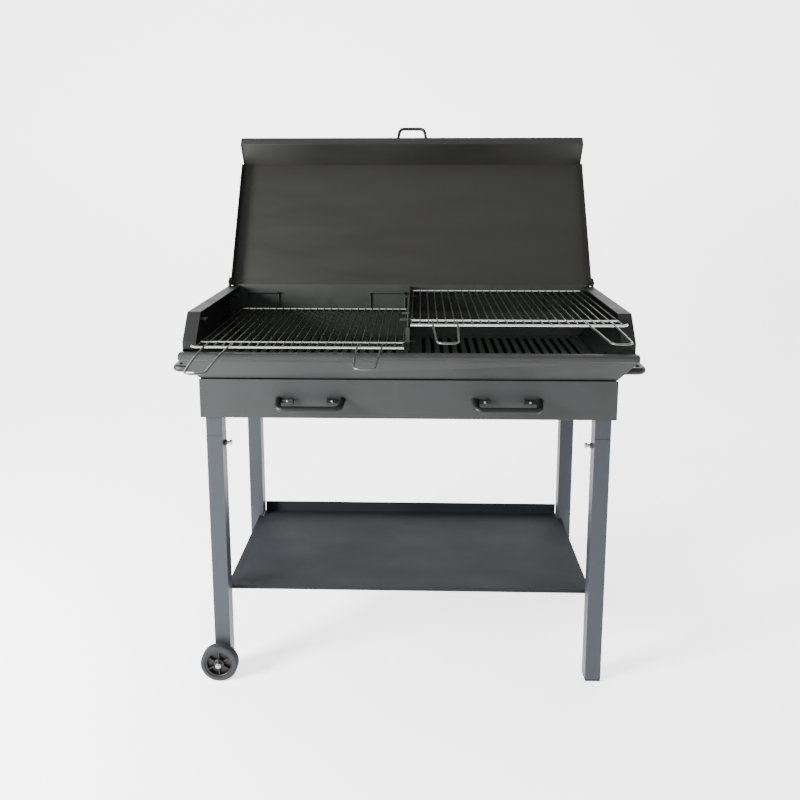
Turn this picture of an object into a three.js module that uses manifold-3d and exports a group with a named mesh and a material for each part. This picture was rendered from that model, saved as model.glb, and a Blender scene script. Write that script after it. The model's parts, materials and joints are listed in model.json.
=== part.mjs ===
// Two-bay charcoal barbecue on a wheeled stand, in folded sheet steel.
// Millimetres, +Z up, X along the front, the user stands on the -Y side.
// The lid is drawn closed round its pivot and then turned open, as it stands at rest.
import * as THREE from 'three';
import { mergeVertices } from 'three/addons/utils/BufferGeometryUtils.js';
import Module from 'manifold-3d';

const wasm = await Module();
wasm.setup();

// ---------------------------------------------------------------- driving dimensions
const SHEET = 2; // thickness of every folded sheet
const GAP = 0.3; // space left between touching pieces

// firebox
const WING_X = 553; // outside of the side walls
const BOX_X = 510; // outside of the ash box and of the funnel's foot
const WING_TOP = 958;
const WING_FLANGE = 34; // width of the flange folded inwards along a side wall's edges
const WING_FRONT = -237; // front edge of a side wall, above the rim
const SLOPE_TOP = -185; // where the side wall's top edge turns down
const SLOPE_FOOT_Z = 893;
const RIM_TOP = 872;
const RIM_FOOT = 856;
const RIM_FRONT = -277;
const RIM_BACK = -256;
const FUNNEL_FRONT = -267; // front of the funnel under the rim
const FUNNEL_FOOT_Y = -252;
const FUNNEL_FOOT_Z = 808;
const REAR_Y = 240; // outer face of the rear panel
const BAFFLE_TOP_Z = 880;
const BAFFLE_FOOT_Y = 213;
const LEDGE = 20; // width of the ledge that carries the charcoal grates
const DIVIDER = { toe: -248, step: 868, front: -213, bend: 926, nose: -195 };

// ash box and drawer
const FLOOR_Z = 706;
const DRAWER_FRONT_Y = -257;
const PANEL_TOP = 805;
const TRAY = { x: 496, front: -254.7, back: 228, foot: 712, top: 790, wall: 1.5 };

// stand
const LEG = 40; // square tube
const LEG_BORE = 36;
const SPIGOT = 35.4;
const LEG_X = 480; // centre of a leg
const LEG_FRONT_Y = -227;
const LEG_REAR_Y = 219;
const SOCKET_FOOT = 656;
const SPIGOT_FOOT = 560;
const LEG_TOP = 655.7;
const WHEEL_LEG_FOOT = 20;
const CLAMP_Z = 632;
const SHELF = {
  x: 473, front: -206.5, step: 198.5, back: 240, inner: 459.5, top: 232, lip: 222, upstand: 262,
};

// wheels
const WHEEL_R = 48;
const WHEEL_WIDTH = 24;
const HUB_R = 36;
const AXLE_R = 4;
const WHEEL_X = -486;

// grates
const LOW_GRATE_Z = 888; // centre of the wires in the low position
const HIGH_GRATE_Z = 945;
const GRATE_WIRE = 6;
const GRATE = { inner: 8, outer: 512, railEnd: 524, front: -265, second: -222, back: 231, bars: 24 };
const LOOP = { inner: 91, outer: 463, reach: 185, rootHalf: 30, tipHalf: 23, wire: 5 };
// how far the tip of each loop hangs, as every one is bent a little differently
const LOOP_DROOP = { left_outer: 16, left_inner: 3, right_outer: 2, right_inner: 2 };
const CHARCOAL = { inner: 4, outer: 503, front: -246, back: 204, pitch: 25, slot: 11, margin: 24 };
const LOW_REST_Z = LOW_GRATE_Z - GRATE_WIRE / 2 - GAP; // top of the rests for the low position
const REST_Z = HIGH_GRATE_Z - GRATE_WIRE / 2 - GAP; // and for the high position
const REST_Y = [-190, 150]; // front edges of the rests beside a grate
const REST_LENGTH = 18;

// lid, drawn closed with its pivot at the origin
const PIVOT_Y = 232;
const PIVOT_Z = 970;
const LID_X = 543;
const LID_LEAN = 29.5; // degrees past upright when open
const LID = { rise: 19, back: 15, panel: 414, flap: 76, fold: 60, lip: 22, skirt: 11.5, hem: 5 };

// handles
const BRIDGE = { length: 172, bar: 17 };
const DRAWER_HANDLE_X = [-237, 243];
const SIDE_HANDLE = { z: 819, front: -221, back: -53, outer: 590 };

// ---------------------------------------------------------------- finishes
function finish(color, roughness, metalness) {
  return { color, roughness, metalness };
}
const PAINT = finish(0x4d4f4e, 0.55, 0.3);
const LID_PAINT = finish(0x46463f, 0.5, 0.35);
const WIRE = finish(0xc9ccca, 0.25, 1);
const BOLT = finish(0xa9abaa, 0.35, 1);
const PLASTIC = finish(0x1b1b1c, 0.5, 0);
const RUBBER = finish(0x2a2b2c, 0.85, 0);

// ---------------------------------------------------------------- shape helpers
function closed(geometry) {
  const bare = geometry.clone();
  bare.deleteAttribute('normal');
  bare.deleteAttribute('uv');
  const merged = mergeVertices(bare);
  const mesh = new wasm.Mesh({
    numProp: 3,
    vertProperties: new Float32Array(merged.attributes.position.array),
    triVerts: new Uint32Array(merged.index.array),
  });
  return new wasm.Manifold(mesh);
}

function open(manifold) {
  const mesh = manifold.getMesh();
  const geometry = new THREE.BufferGeometry();
  geometry.setAttribute('position', new THREE.BufferAttribute(new Float32Array(mesh.vertProperties), 3));
  geometry.setIndex(new THREE.BufferAttribute(new Uint32Array(mesh.triVerts), 1));
  return geometry;
}

function join(...shapes) {
  return open(shapes.map(closed).reduce((sum, next) => sum.add(next)));
}

function cut(shape, ...tools) {
  return open(tools.map(closed).reduce((rest, tool) => rest.subtract(tool), closed(shape)));
}

function clip(shape, keep) {
  return open(closed(shape).intersect(closed(keep)));
}

function box(x0, x1, y0, y1, z0, z1) {
  const geometry = new THREE.BoxGeometry(Math.abs(x1 - x0), Math.abs(y1 - y0), Math.abs(z1 - z0));
  return geometry.translate((x0 + x1) / 2, (y0 + y1) / 2, (z0 + z1) / 2);
}

function outline(points, holes = []) {
  const corners = points.map(([u, v]) => new THREE.Vector2(u, v));
  if (THREE.ShapeUtils.isClockWise(corners)) corners.reverse();
  const shape = new THREE.Shape(corners);
  shape.holes = holes;
  return shape;
}

function extrude(shape, depth) {
  return new THREE.ExtrudeGeometry(shape, { depth, bevelEnabled: false, curveSegments: 6 });
}

// an outline in Y and Z, carried along X from x0 to x1
function alongX(points, x0, x1, holes) {
  const low = Math.min(x0, x1);
  const basis = new THREE.Matrix4().makeBasis(
    new THREE.Vector3(0, 1, 0), new THREE.Vector3(0, 0, 1), new THREE.Vector3(1, 0, 0));
  return extrude(outline(points, holes), Math.abs(x1 - x0)).applyMatrix4(basis).translate(low, 0, 0);
}

// an outline in X and Z, carried along Y from y0 to y1
function alongY(points, y0, y1, holes) {
  const basis = new THREE.Matrix4().makeBasis(
    new THREE.Vector3(1, 0, 0), new THREE.Vector3(0, 0, 1), new THREE.Vector3(0, -1, 0));
  return extrude(outline(points, holes), y1 - y0).applyMatrix4(basis).translate(0, y1, 0);
}

// a round hole in an outline
function hole(u, v, radius) {
  return new THREE.Path().absarc(u, v, radius, 0, 2 * Math.PI, true);
}

// the cross-section of a folded sheet that follows a line of fold points
function folded(points, thickness = SHEET) {
  const line = points.map(([u, v]) => new THREE.Vector2(u, v));
  const side = (sign) => line.map((point, i) => {
    const before = i > 0 ? point.clone().sub(line[i - 1]).normalize() : null;
    const after = i < line.length - 1 ? line[i + 1].clone().sub(point).normalize() : null;
    const first = before ?? after;
    const second = after ?? before;
    const normal = new THREE.Vector2(-first.y - second.y, first.x + second.x).normalize();
    const reach = thickness / 2 / Math.abs(normal.dot(new THREE.Vector2(-first.y, first.x)));
    return [point.x + sign * normal.x * reach, point.y + sign * normal.y * reach];
  });
  return [...side(1), ...side(-1).reverse()];
}

// a round bar or washer along an axis, centred on the given place
function round(axis, radius, from, to, u, v, sides = 24) {
  const bar = new THREE.CylinderGeometry(radius, radius, Math.abs(to - from), sides);
  const middle = (from + to) / 2;
  if (axis === 'x') return bar.rotateZ(Math.PI / 2).translate(middle, u, v);
  if (axis === 'y') return bar.translate(u, middle, v);
  return bar.rotateX(Math.PI / 2).translate(u, v, middle);
}

function hexagon(axis, radius, from, to, u, v) {
  return round(axis, radius, from, to, u, v, 6);
}

// ---------------------------------------------------------------- the assembly
const barbecue = new THREE.Group();

function add(name, geometry, look, group = barbecue) {
  const mesh = new THREE.Mesh(geometry, new THREE.MeshStandardMaterial(look));
  mesh.name = name;
  group.add(mesh);
}

const SIDES = [['left', -1], ['right', 1]];

// tabs that carry the cooking grates at both heights, reaching from x0 to x1
function grate_rests(x0, x1) {
  return [LOW_REST_Z, REST_Z].flatMap((top) => REST_Y.map(
    (y) => box(x0, x1, y, y + REST_LENGTH, top - 3, top)));
}

// the funnel's front: ledge, slope and the folded rim, cut to the side walls' slope
function firebox_front() {
  const section = folded([
    [FUNNEL_FOOT_Y + LEDGE, FUNNEL_FOOT_Z], [FUNNEL_FOOT_Y, FUNNEL_FOOT_Z], [FUNNEL_FRONT, RIM_FOOT],
    [RIM_FRONT + 2.5, RIM_FOOT], [RIM_FRONT, RIM_FOOT + 3], [RIM_FRONT, RIM_TOP - 6],
    [RIM_FRONT + 2, RIM_TOP - 2], [RIM_FRONT + 6, RIM_TOP], [RIM_BACK, RIM_TOP],
  ]);
  const rimX = WING_X;
  const face = [
    [-BOX_X, FUNNEL_FOOT_Z - SHEET], [BOX_X, FUNNEL_FOOT_Z - SHEET], [BOX_X, FUNNEL_FOOT_Z],
    [rimX, RIM_FOOT - SHEET], [rimX, RIM_TOP + SHEET], [-rimX, RIM_TOP + SHEET],
    [-rimX, RIM_FOOT - SHEET], [-BOX_X, FUNNEL_FOOT_Z],
  ];
  const keep = alongY(face, RIM_FRONT - 5, FUNNEL_FOOT_Y + LEDGE + 5);
  const notches = SIDES.map(([, s]) => box(s * (BOX_X - 5), s * (BOX_X + 5), FUNNEL_FOOT_Y + 1.3,
    FUNNEL_FOOT_Y + LEDGE + 5, FUNNEL_FOOT_Z - 5, FUNNEL_FOOT_Z + 5));
  add('firebox_front', cut(clip(alongX(section, -rimX, rimX), keep), ...notches), PAINT);
}

// a side wall: slope of the funnel, upright wall, inward flanges, grate rest and hinge ear
function firebox_side(side, s) {
  const foot = RIM_FOOT + 1;
  const back = REAR_Y - SHEET - 2 * GAP;
  const wall = [
    [FUNNEL_FRONT + 2, foot], [FUNNEL_FRONT + 2, RIM_TOP - SHEET], [WING_FRONT, RIM_TOP - SHEET],
    [WING_FRONT, SLOPE_FOOT_Z], [SLOPE_TOP, WING_TOP], [back, WING_TOP], [back, foot],
  ];
  const inside = [
    [WING_FRONT + SHEET, foot - 5], [WING_FRONT + SHEET, SLOPE_FOOT_Z + 1],
    [SLOPE_TOP + 1, WING_TOP - SHEET], [back + 5, WING_TOP - SHEET], [back + 5, foot - 5],
  ];
  const inner = WING_X - SHEET;
  const flangeEdge = WING_X - WING_FLANGE;
  const lowFront = box(
    s * inner, s * (flangeEdge - 5), FUNNEL_FRONT - 5, WING_FRONT + SHEET, foot - 5, RIM_TOP + 3);
  const upper = cut(
    alongX(wall, s * WING_X, s * flangeEdge), alongX(inside, s * inner, s * (flangeEdge - 5)), lowFront);

  const slope = folded([
    [s * (WING_X - 1), RIM_TOP - 2 * SHEET],
    [s * (WING_X - 1), RIM_FOOT],
    [s * (BOX_X - 1), FUNNEL_FOOT_Z]]);
  const front = [
    [FUNNEL_FOOT_Y + 3.2, FUNNEL_FOOT_Z - 5], [FUNNEL_FRONT + 1.7, RIM_FOOT], [FUNNEL_FRONT + 1.7, RIM_TOP],
    [back, RIM_TOP], [back, FUNNEL_FOOT_Z - 5],
  ];
  const lower = clip(alongY(slope, FUNNEL_FRONT, back), alongX(front, s * (BOX_X - 20), s * WING_X));
  const ledge = box(s * (BOX_X - LEDGE), s * (BOX_X - 1), FUNNEL_FOOT_Y + LEDGE + 2, BAFFLE_FOOT_Y - LEDGE,
    FUNNEL_FOOT_Z - 1, FUNNEL_FOOT_Z + 1);
  const rearLip = box(s * (BOX_X - 2.4), s * (BOX_X - 1), 0, back, FUNNEL_FOOT_Z - 1, FUNNEL_FOOT_Z + 1);
  const rests = grate_rests(s * (inner + 0.5), s * (GRATE.outer - 7));

  const earFoot = WING_TOP - 1;
  const ear = [
    [PIVOT_Y - 16, earFoot], [back, earFoot], [back, WING_TOP + GAP], [PIVOT_Y + 14, WING_TOP + GAP],
    [PIVOT_Y + 14, PIVOT_Z + 8], [PIVOT_Y + 8, PIVOT_Z + 14], [PIVOT_Y - 8, PIVOT_Z + 14],
    [PIVOT_Y - 16, PIVOT_Z + 6],
  ];
  const earPlate = alongX(ear, s * (LID_X + 2.5), s * (LID_X + 5.5), [hole(PIVOT_Y, PIVOT_Z, 3.3)]);
  add(`firebox_side_${side}`, join(upper, lower, ledge, rearLip, ...rests, earPlate), PAINT);
}

function rear_panel() {
  const low = BOX_X - 3;
  const step = LID_X - 8;
  const half = [
    [low, FLOOR_Z], [low, FUNNEL_FOOT_Z], [WING_X, RIM_FOOT + 2], [WING_X, WING_TOP - 1],
    [step, WING_TOP - 1], [step, WING_TOP + 5],
  ];
  const other = half.map(([x, z]) => [-x, z]).reverse();
  add('rear_panel', alongY([...half, ...other], REAR_Y - SHEET, REAR_Y), PAINT);
}

// sloping plate inside the back of the firebox, with the rear ledge at its foot
function rear_baffle() {
  const section = folded([
    [REAR_Y - SHEET - 1.6, BAFFLE_TOP_Z],
    [BAFFLE_FOOT_Y, FUNNEL_FOOT_Z],
    [BAFFLE_FOOT_Y - LEDGE + 3, FUNNEL_FOOT_Z]]);
  const wide = WING_X - SHEET - 1.5;
  const narrow = BOX_X - SHEET - 2;
  const face = [
    [-narrow, FUNNEL_FOOT_Z - 3], [narrow, FUNNEL_FOOT_Z - 3], [narrow, FUNNEL_FOOT_Z],
    [wide, RIM_FOOT], [wide, BAFFLE_TOP_Z + 5], [-wide, BAFFLE_TOP_Z + 5], [-wide, RIM_FOOT],
    [-narrow, FUNNEL_FOOT_Z],
  ];
  const keep = alongY(face, BAFFLE_FOOT_Y - LEDGE, REAR_Y);
  add('rear_baffle', clip(alongX(section, -wide, wide), keep), PAINT);
}

// partition between the bays: its front is stepped and its top corner cut, to pass inside the lid's flap
function divider() {
  const foot = FUNNEL_FOOT_Z + 1.6;
  const { toe, step, front, bend, nose } = DIVIDER;
  const back = REAR_Y - SHEET - 1;
  const plate = alongX([
    [toe, foot], [BAFFLE_FOOT_Y - 3.5, foot], [back - 4, BAFFLE_TOP_Z + 1.5], [back, BAFFLE_TOP_Z + 3.5],
    [back, WING_TOP], [nose, WING_TOP], [front, bend], [front, step], [toe, step],
  ], -1.5, 1.5);
  const post = box(-5, 5, front - SHEET, front + 0.5, step - 8, bend);
  const cap = box(-14, 5, nose, nose + 12, WING_TOP - 1, WING_TOP + 1);
  add('divider', join(plate, post, cap, ...grate_rests(-20, 20)), PAINT);
}

// slotted plate that carries the charcoal of one bay
function charcoal_grate(side, s) {
  const { inner, outer, front, back, pitch, slot, margin } = CHARCOAL;
  const foot = FUNNEL_FOOT_Z + 1 + GAP;
  const top = foot + 2.5;
  const count = Math.floor((outer - inner - 2 * margin) / pitch);
  const first = (inner + outer - (count - 1) * pitch) / 2;
  const slots = [];
  for (let i = 0; i < count; i += 1) {
    const x = s * (first + i * pitch);
    slots.push(box(x - slot / 2, x + slot / 2, front + margin, back - margin, foot - 1, top + 1));
  }
  add(`charcoal_grate_${side}`, cut(box(s * inner, s * outer, front, back, foot, top), ...slots), PAINT);
}

// wire bracket on the rear panel that carries the back rail of a raised grate
function rear_rest(side, s, place, centre, width) {
  const back = REAR_Y - SHEET - GAP;
  const wire = 5;
  const half = width / 2;
  const bar = box(s * centre - half, s * centre + half, GRATE.back - 4, back, REST_Z - wire, REST_Z);
  const legs = [-1, 1].map((end) => {
    const x = s * centre + (end * (width - wire)) / 2;
    return box(x - wire / 2, x + wire / 2, back - wire, back, BAFFLE_TOP_Z + 9, REST_Z - 1);
  });
  add(`rear_rest_${side}_${place}`, join(bar, ...legs), WIRE);
}

function ash_box() {
  const back = REAR_Y - SHEET - GAP;
  const front = DRAWER_FRONT_Y + 5;
  add('ash_box_floor', box(-BOX_X + 3, BOX_X - 3, front, back, FLOOR_Z, FLOOR_Z + SHEET), PAINT);
  for (const [side, s] of SIDES) {
    const foot = FLOOR_Z + SHEET + GAP;
    add(`ash_box_side_${side}`,
      box(s * (BOX_X - 5), s * (BOX_X - 3), front, back, foot, FUNNEL_FOOT_Z - 1 - GAP), PAINT);
    const runnerEnd = TRAY.back - 3;
    add(`drawer_runner_${side}`,
      box(s * (TRAY.x - 26), s * (BOX_X - 5 - GAP), front + 12, runnerEnd, foot, TRAY.foot - GAP), PAINT);
  }
}

function ash_drawer() {
  const { x, front, back, foot, top, wall } = TRAY;
  add('drawer_tray', cut(box(-x, x, front, back, foot, top),
    box(-x + wall, x - wall, front + wall, back - wall, foot + wall, top + 5)), PAINT);
  add('drawer_front',
    box(-BOX_X, BOX_X, DRAWER_FRONT_Y, DRAWER_FRONT_Y + SHEET, FLOOR_Z + 1, PANEL_TOP), PAINT);
  DRAWER_HANDLE_X.forEach((centre, i) => {
    const root = DRAWER_FRONT_Y - GAP;
    const nose = root - 46;
    const legs = [-1, 1].map((end) => {
      const middle = centre + (end * (BRIDGE.length - BRIDGE.bar)) / 2;
      return alongX([[root, 747], [root, 764], [nose, 751], [nose, 734]],
        middle - BRIDGE.bar / 2, middle + BRIDGE.bar / 2);
    });
    const half = BRIDGE.length / 2;
    const bar = box(centre - half, centre + half, nose, nose + BRIDGE.bar, 735, 750);
    add(`drawer_handle_${SIDES[i][0]}`, join(bar, ...legs), PLASTIC);
  });
}

function side_handle(side, s) {
  const { z, front, back, outer } = SIDE_HANDLE;
  const half = BRIDGE.bar / 2;
  const lean = (WING_X - BOX_X) / (RIM_FOOT - FUNNEL_FOOT_Z);
  const wallAt = (height) => s * (BOX_X + 1.5 + (height - FUNNEL_FOOT_Z) * lean);
  const leg = [
    [wallAt(z - half), z - half], [s * outer, z - half],
    [s * outer, z + half], [wallAt(z + half), z + half]];
  const bar = box(s * (outer - BRIDGE.bar), s * outer, front, back, z - half, z + half);
  const near = alongY(leg, front, front + BRIDGE.bar);
  const far = alongY(leg, back - BRIDGE.bar, back);
  add(`side_handle_${side}`, join(bar, near, far), PLASTIC);
}

// one corner of the stand: the welded socket, the leg that slides over it and the clamp bolt
function corner(end, side, s) {
  const y = end === 'front' ? LEG_FRONT_Y : LEG_REAR_Y;
  const x = s * LEG_X;
  const tube = (size, z0, z1) => box(x - size / 2, x + size / 2, y - size / 2, y + size / 2, z0, z1);
  const name = `${end}_${side}`;
  const outside = join(
    tube(LEG, SOCKET_FOOT, FLOOR_Z - GAP), tube(SPIGOT, SPIGOT_FOOT, SOCKET_FOOT + 1));
  const socket = cut(outside, tube(SPIGOT - 4, SPIGOT_FOOT - 5, FLOOR_Z + 5));
  add(`leg_socket_${name}`, socket, PAINT);

  const onWheel = side === 'left';
  const foot = onWheel ? WHEEL_LEG_FOOT : 4 + GAP;
  const face = s * (LEG_X - LEG / 2); // inner face of the leg, where the clamp nut is welded
  const nut = hexagon('x', 7.5, face + s * 0.5, face - s * 6.5, y, CLAMP_Z);
  const tools = [tube(LEG_BORE, foot - 5, LEG_TOP + 5),
    round('x', AXLE_R + GAP, face + s * 4, face - s * 10, y, CLAMP_Z, 12)];
  if (onWheel) tools.push(round('y', AXLE_R + GAP, y - LEG, y + LEG, WHEEL_X, WHEEL_R, 12));
  add(`leg_${name}`, cut(join(tube(LEG, foot, LEG_TOP), nut), ...tools), PAINT);

  const tip = s * (LEG_X - SPIGOT / 2 - GAP);
  const shank = round('x', AXLE_R, tip, face - s * 14, y, CLAMP_Z, 12);
  const head = hexagon('x', 7.5, face - s * 13, face - s * 19, y, CLAMP_Z);
  add(`clamp_bolt_${name}`, join(shank, head), BOLT);
  if (!onWheel) {
    const plug = join(tube(LEG, 0, 4), tube(LEG_BORE - 2 * GAP, 3, 22));
    add(`foot_plug_${name}`, plug, PLASTIC);
  }
}

function shelf() {
  const { x, front, step, back, inner, top, lip, upstand } = SHELF;
  const under = top - SHEET;
  const block = box(-x, x, front, step, lip, top);
  const below = box(-x + SHEET, x - SHEET, front + SHEET, step + 5, lip - 5, under);
  const tray = cut(block, below);
  const tongue = box(-inner, inner, step - 5, back, under, top);
  const rearUpstand = box(-inner + 1, inner - 1, back - SHEET, back, under + 1, upstand);
  add('shelf', join(tray, tongue, rearUpstand), PAINT);
}

// a wheel beside a left leg: s is -1 in front of the front leg and 1 behind the rear leg
function wheel(end, s, group) {
  const legY = end === 'front' ? LEG_FRONT_Y : LEG_REAR_Y;
  const face = legY + (s * LEG) / 2; // leg face that the hub turns against
  const x = WHEEL_X;
  const inner = 1.5;
  const outer = inner + WHEEL_WIDTH;
  const spun = (profile) => {
    const ring = new THREE.LatheGeometry(profile.map(([r, w]) => new THREE.Vector2(r, w)), 32);
    return open(closed(s > 0 ? ring : ring.rotateX(Math.PI))).translate(x, face, WHEEL_R);
  };
  const bore = AXLE_R + GAP;
  const hub = [
    [bore, inner], [13, inner], [14, inner + 5], [HUB_R - 4, inner + 5], [HUB_R - 3, inner + 1],
    [HUB_R, inner + 1], [HUB_R, outer - 1], [HUB_R - 3, outer - 1], [HUB_R - 4, outer - 6],
    [14, outer - 6], [13, outer - 1], [bore, outer - 1], [bore, inner],
  ];
  const rubberFoot = HUB_R + GAP;
  const tyre = [
    [rubberFoot, inner], [WHEEL_R - 3, inner], [WHEEL_R, inner + 3], [WHEEL_R, outer - 3],
    [WHEEL_R - 3, outer], [rubberFoot, outer], [rubberFoot, inner],
  ];
  add(`wheel_hub_${end}`, spun(hub), PLASTIC, group);
  add(`wheel_tyre_${end}`, spun(tyre), RUBBER, group);

  const headFace = legY - (s * LEG) / 2 - s * GAP;
  const shank = round('y', AXLE_R, headFace - s, face + s * (outer + 9), x, WHEEL_R, 16);
  const head = hexagon('y', 7.5, headFace, headFace - s * 5.5, x, WHEEL_R);
  add(`axle_bolt_${end}`, join(shank, head), BOLT);
  const nut = cut(hexagon('y', 7.5, face + s * outer, face + s * (outer + 6.5), x, WHEEL_R),
    round('y', AXLE_R + GAP, face, face + s * (outer + 20), x, WHEEL_R, 16));
  add(`axle_nut_${end}`, nut, BOLT);
}

// wire cooking grate of one bay: two front rails, bars front to back and a rear rail
function cooking_grate(side, s, z) {
  const { inner, outer, railEnd, front, second, back, bars } = GRATE;
  const wire = GRATE_WIRE;
  const [foot, top] = [z - wire / 2, z + wire / 2];
  const pitch = (outer - inner - wire / 2) / bars;
  const openings = [];
  for (let i = 0; i < bars; i += 1) {
    const x0 = s * (inner + wire / 2 + i * pitch);
    const x1 = x0 + s * (pitch - wire / 2);
    openings.push(box(x0, x1, front + wire, second - wire / 2, foot - 1, top + 1));
    openings.push(box(x0, x1, second + wire / 2, back - wire, foot - 1, top + 1));
  }
  const rail = box(s * inner, s * railEnd, front, front + wire, foot, top);
  const field = box(s * inner, s * outer, front, back, foot, top);
  add(`cooking_grate_${side}`, cut(join(rail, field), ...openings), WIRE);
  lifting_loop(`${side}_outer`, s * LOOP.outer, z);
  lifting_loop(`${side}_inner`, s * LOOP.inner, z);
}

// U of wire that sticks out in front of a cooking grate and droops a little
function lifting_loop(place, x, z) {
  const { reach, rootHalf, tipHalf, wire } = LOOP;
  const droop = LOOP_DROOP[place];
  const root = GRATE.front - GAP;
  const point = (side, along) => new THREE.Vector3(
    x + side * (rootHalf + (tipHalf - rootHalf) * along), root - reach * along, z - droop * along * along);
  const bend = (side) => new THREE.Vector3(x + side * (tipHalf - 12), root - reach, z - droop);
  const path = new THREE.CatmullRomCurve3([
    point(-1, 0), point(-1, 0.45), point(-1, 0.9), bend(-1),
    bend(1), point(1, 0.9), point(1, 0.45), point(1, 0),
  ], false, 'centripetal');
  const section = new THREE.Shape().absarc(0, 0, wire / 2, 0, 2 * Math.PI);
  const tube = new THREE.ExtrudeGeometry(section, { extrudePath: path, steps: 26, curveSegments: 4 });
  add(`lifting_loop_${place}`, open(closed(tube)), WIRE);
}

// pins that the lid swings on, through the ears of the side walls
function lid_pivot(side, s) {
  const shank = round('x', 3, s * (LID_X - 11), s * (LID_X + 7), PIVOT_Y, PIVOT_Z, 12);
  const head = hexagon('x', 6, s * (LID_X + 6), s * (LID_X + 9.5), PIVOT_Y, PIVOT_Z);
  add(`pivot_bolt_${side}`, join(shank, head), BOLT);
  const nut = cut(hexagon('x', 6, s * (LID_X - 9.5), s * (LID_X - 4), PIVOT_Y, PIVOT_Z),
    round('x', 3 + GAP, s * (LID_X - 15), s * LID_X, PIVOT_Y, PIVOT_Z, 12));
  add(`pivot_nut_${side}`, nut, BOLT);
}

function lid() {
  const open_lid = new THREE.Group();
  open_lid.position.set(0, PIVOT_Y, PIVOT_Z);
  open_lid.rotation.x = -THREE.MathUtils.degToRad(90 + LID_LEAN);
  barbecue.add(open_lid);

  const { rise, back, panel, flap, fold, lip, skirt, hem } = LID;
  const angle = THREE.MathUtils.degToRad(fold);
  const foldLine = [-panel, rise];
  const edge = [-panel - flap * Math.cos(angle), rise - flap * Math.sin(angle)];
  const section = folded([[back, rise], foldLine, edge, [edge[0] - lip, edge[1]]]);
  const sheet = alongX(section, -LID_X, LID_X);

  const bend = new THREE.Path().absarc(0, 0, skirt, -Math.PI / 2, -Math.PI / 5, false).getPoints(6);
  const skirtLine = [
    [-panel, rise], [-panel + 12, -skirt], ...bend.map((p) => [p.x, p.y]), [9.5, 3], [3, rise]];
  const inwards = [Math.sin(angle) * hem, -Math.cos(angle) * hem];
  const hemLine = [
    foldLine, edge, [edge[0] + inwards[0], edge[1] + inwards[1]],
    [foldLine[0] + inwards[0], foldLine[1] + inwards[1]]];
  const skirts = SIDES.flatMap(([, s]) => [
    alongX(skirtLine, s * (LID_X - SHEET), s * LID_X, [hole(0, 0, 3.4)]),
    alongX(hemLine, s * (LID_X - SHEET), s * LID_X)]);
  add('lid_sheet', join(sheet, ...skirts), LID_PAINT, open_lid);

  const grip = 9;
  const top = edge[1] + 1 + GAP;
  const nose = edge[0] - lip - 44;
  const side = 45;
  const legs = [-1, 1].map((end) => box(
    end * side - grip / 2, end * side + grip / 2, nose, edge[0] - 3, top, top + grip));
  const bar = box(-side - grip / 2, side + grip / 2, nose, nose + grip, top, top + grip);
  add('lid_handle', join(bar, ...legs), PLASTIC, open_lid);
}

firebox_front();
rear_panel();
rear_baffle();
divider();
ash_box();
ash_drawer();
shelf();
for (const [side, s] of SIDES) {
  firebox_side(side, s);
  charcoal_grate(side, s);
  rear_rest(side, s, 'outer', 445, 95);
  rear_rest(side, s, 'inner', 68, 110);
  side_handle(side, s);
  corner('front', side, s);
  corner('rear', side, s);
  lid_pivot(side, s);
}
wheel('front', -1, barbecue);
wheel('rear', 1, barbecue);
cooking_grate('left', -1, LOW_GRATE_Z);
cooking_grate('right', 1, HIGH_GRATE_Z);
lid();

// the origin stands on the floor under the middle of the whole barbecue, as it stands open
const bounds = new THREE.Box3().setFromObject(barbecue, true);
barbecue.position.y = -(bounds.min.y + bounds.max.y) / 2;

export default barbecue;
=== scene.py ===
"""Looks of a two-bay charcoal barbecue in painted sheet steel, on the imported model's frame."""
import json
import math

import bmesh
import bpy
from mathutils import Matrix, Vector


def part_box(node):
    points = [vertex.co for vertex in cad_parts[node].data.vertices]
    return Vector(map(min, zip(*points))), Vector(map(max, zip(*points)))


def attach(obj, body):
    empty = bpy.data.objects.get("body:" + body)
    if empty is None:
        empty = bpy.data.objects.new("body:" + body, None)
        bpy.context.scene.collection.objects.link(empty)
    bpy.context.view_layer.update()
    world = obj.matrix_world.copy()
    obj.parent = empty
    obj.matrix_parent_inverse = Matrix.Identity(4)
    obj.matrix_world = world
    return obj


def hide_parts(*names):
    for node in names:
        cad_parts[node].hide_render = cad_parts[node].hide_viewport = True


bl_info = {
    "name": "Charcoal barbecue",
    "version": (1, 0, 0),
    "blender": (4, 5, 0),
    "location": "View3D > Sidebar > Barbecue",
    "description": "Builds the wire grates, handles, wheels and finishes of a charcoal barbecue",
    "category": "Object",
}

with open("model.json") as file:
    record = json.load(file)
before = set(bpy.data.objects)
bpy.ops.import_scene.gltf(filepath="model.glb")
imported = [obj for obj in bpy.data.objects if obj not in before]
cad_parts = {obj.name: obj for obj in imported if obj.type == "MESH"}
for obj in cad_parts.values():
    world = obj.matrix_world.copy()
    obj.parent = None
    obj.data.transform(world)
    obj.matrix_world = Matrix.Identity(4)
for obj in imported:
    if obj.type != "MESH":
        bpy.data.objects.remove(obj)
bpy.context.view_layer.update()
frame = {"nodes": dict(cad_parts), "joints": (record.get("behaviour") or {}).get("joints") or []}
NODES = frame["nodes"]
JOINTS = {joint["name"]: joint for joint in frame["joints"]}

MM = 0.001
LID_TURN = math.radians(-119.5)  # from the closed lid to the open one, about +X
SHARP_ANGLE = math.radians(40)  # an edge that turns by more than this is drawn sharp
SIDES = ("left", "right")
ENDS = ("front", "rear")


def linear(colour):
    """A six-digit sRGB hex colour as linear red, green and blue."""
    channels = [int(colour[i:i + 2], 16) / 255 for i in (1, 3, 5)]
    return tuple(c / 12.92 if c <= 0.04045 else ((c + 0.055) / 1.055) ** 2.4 for c in channels)


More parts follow.
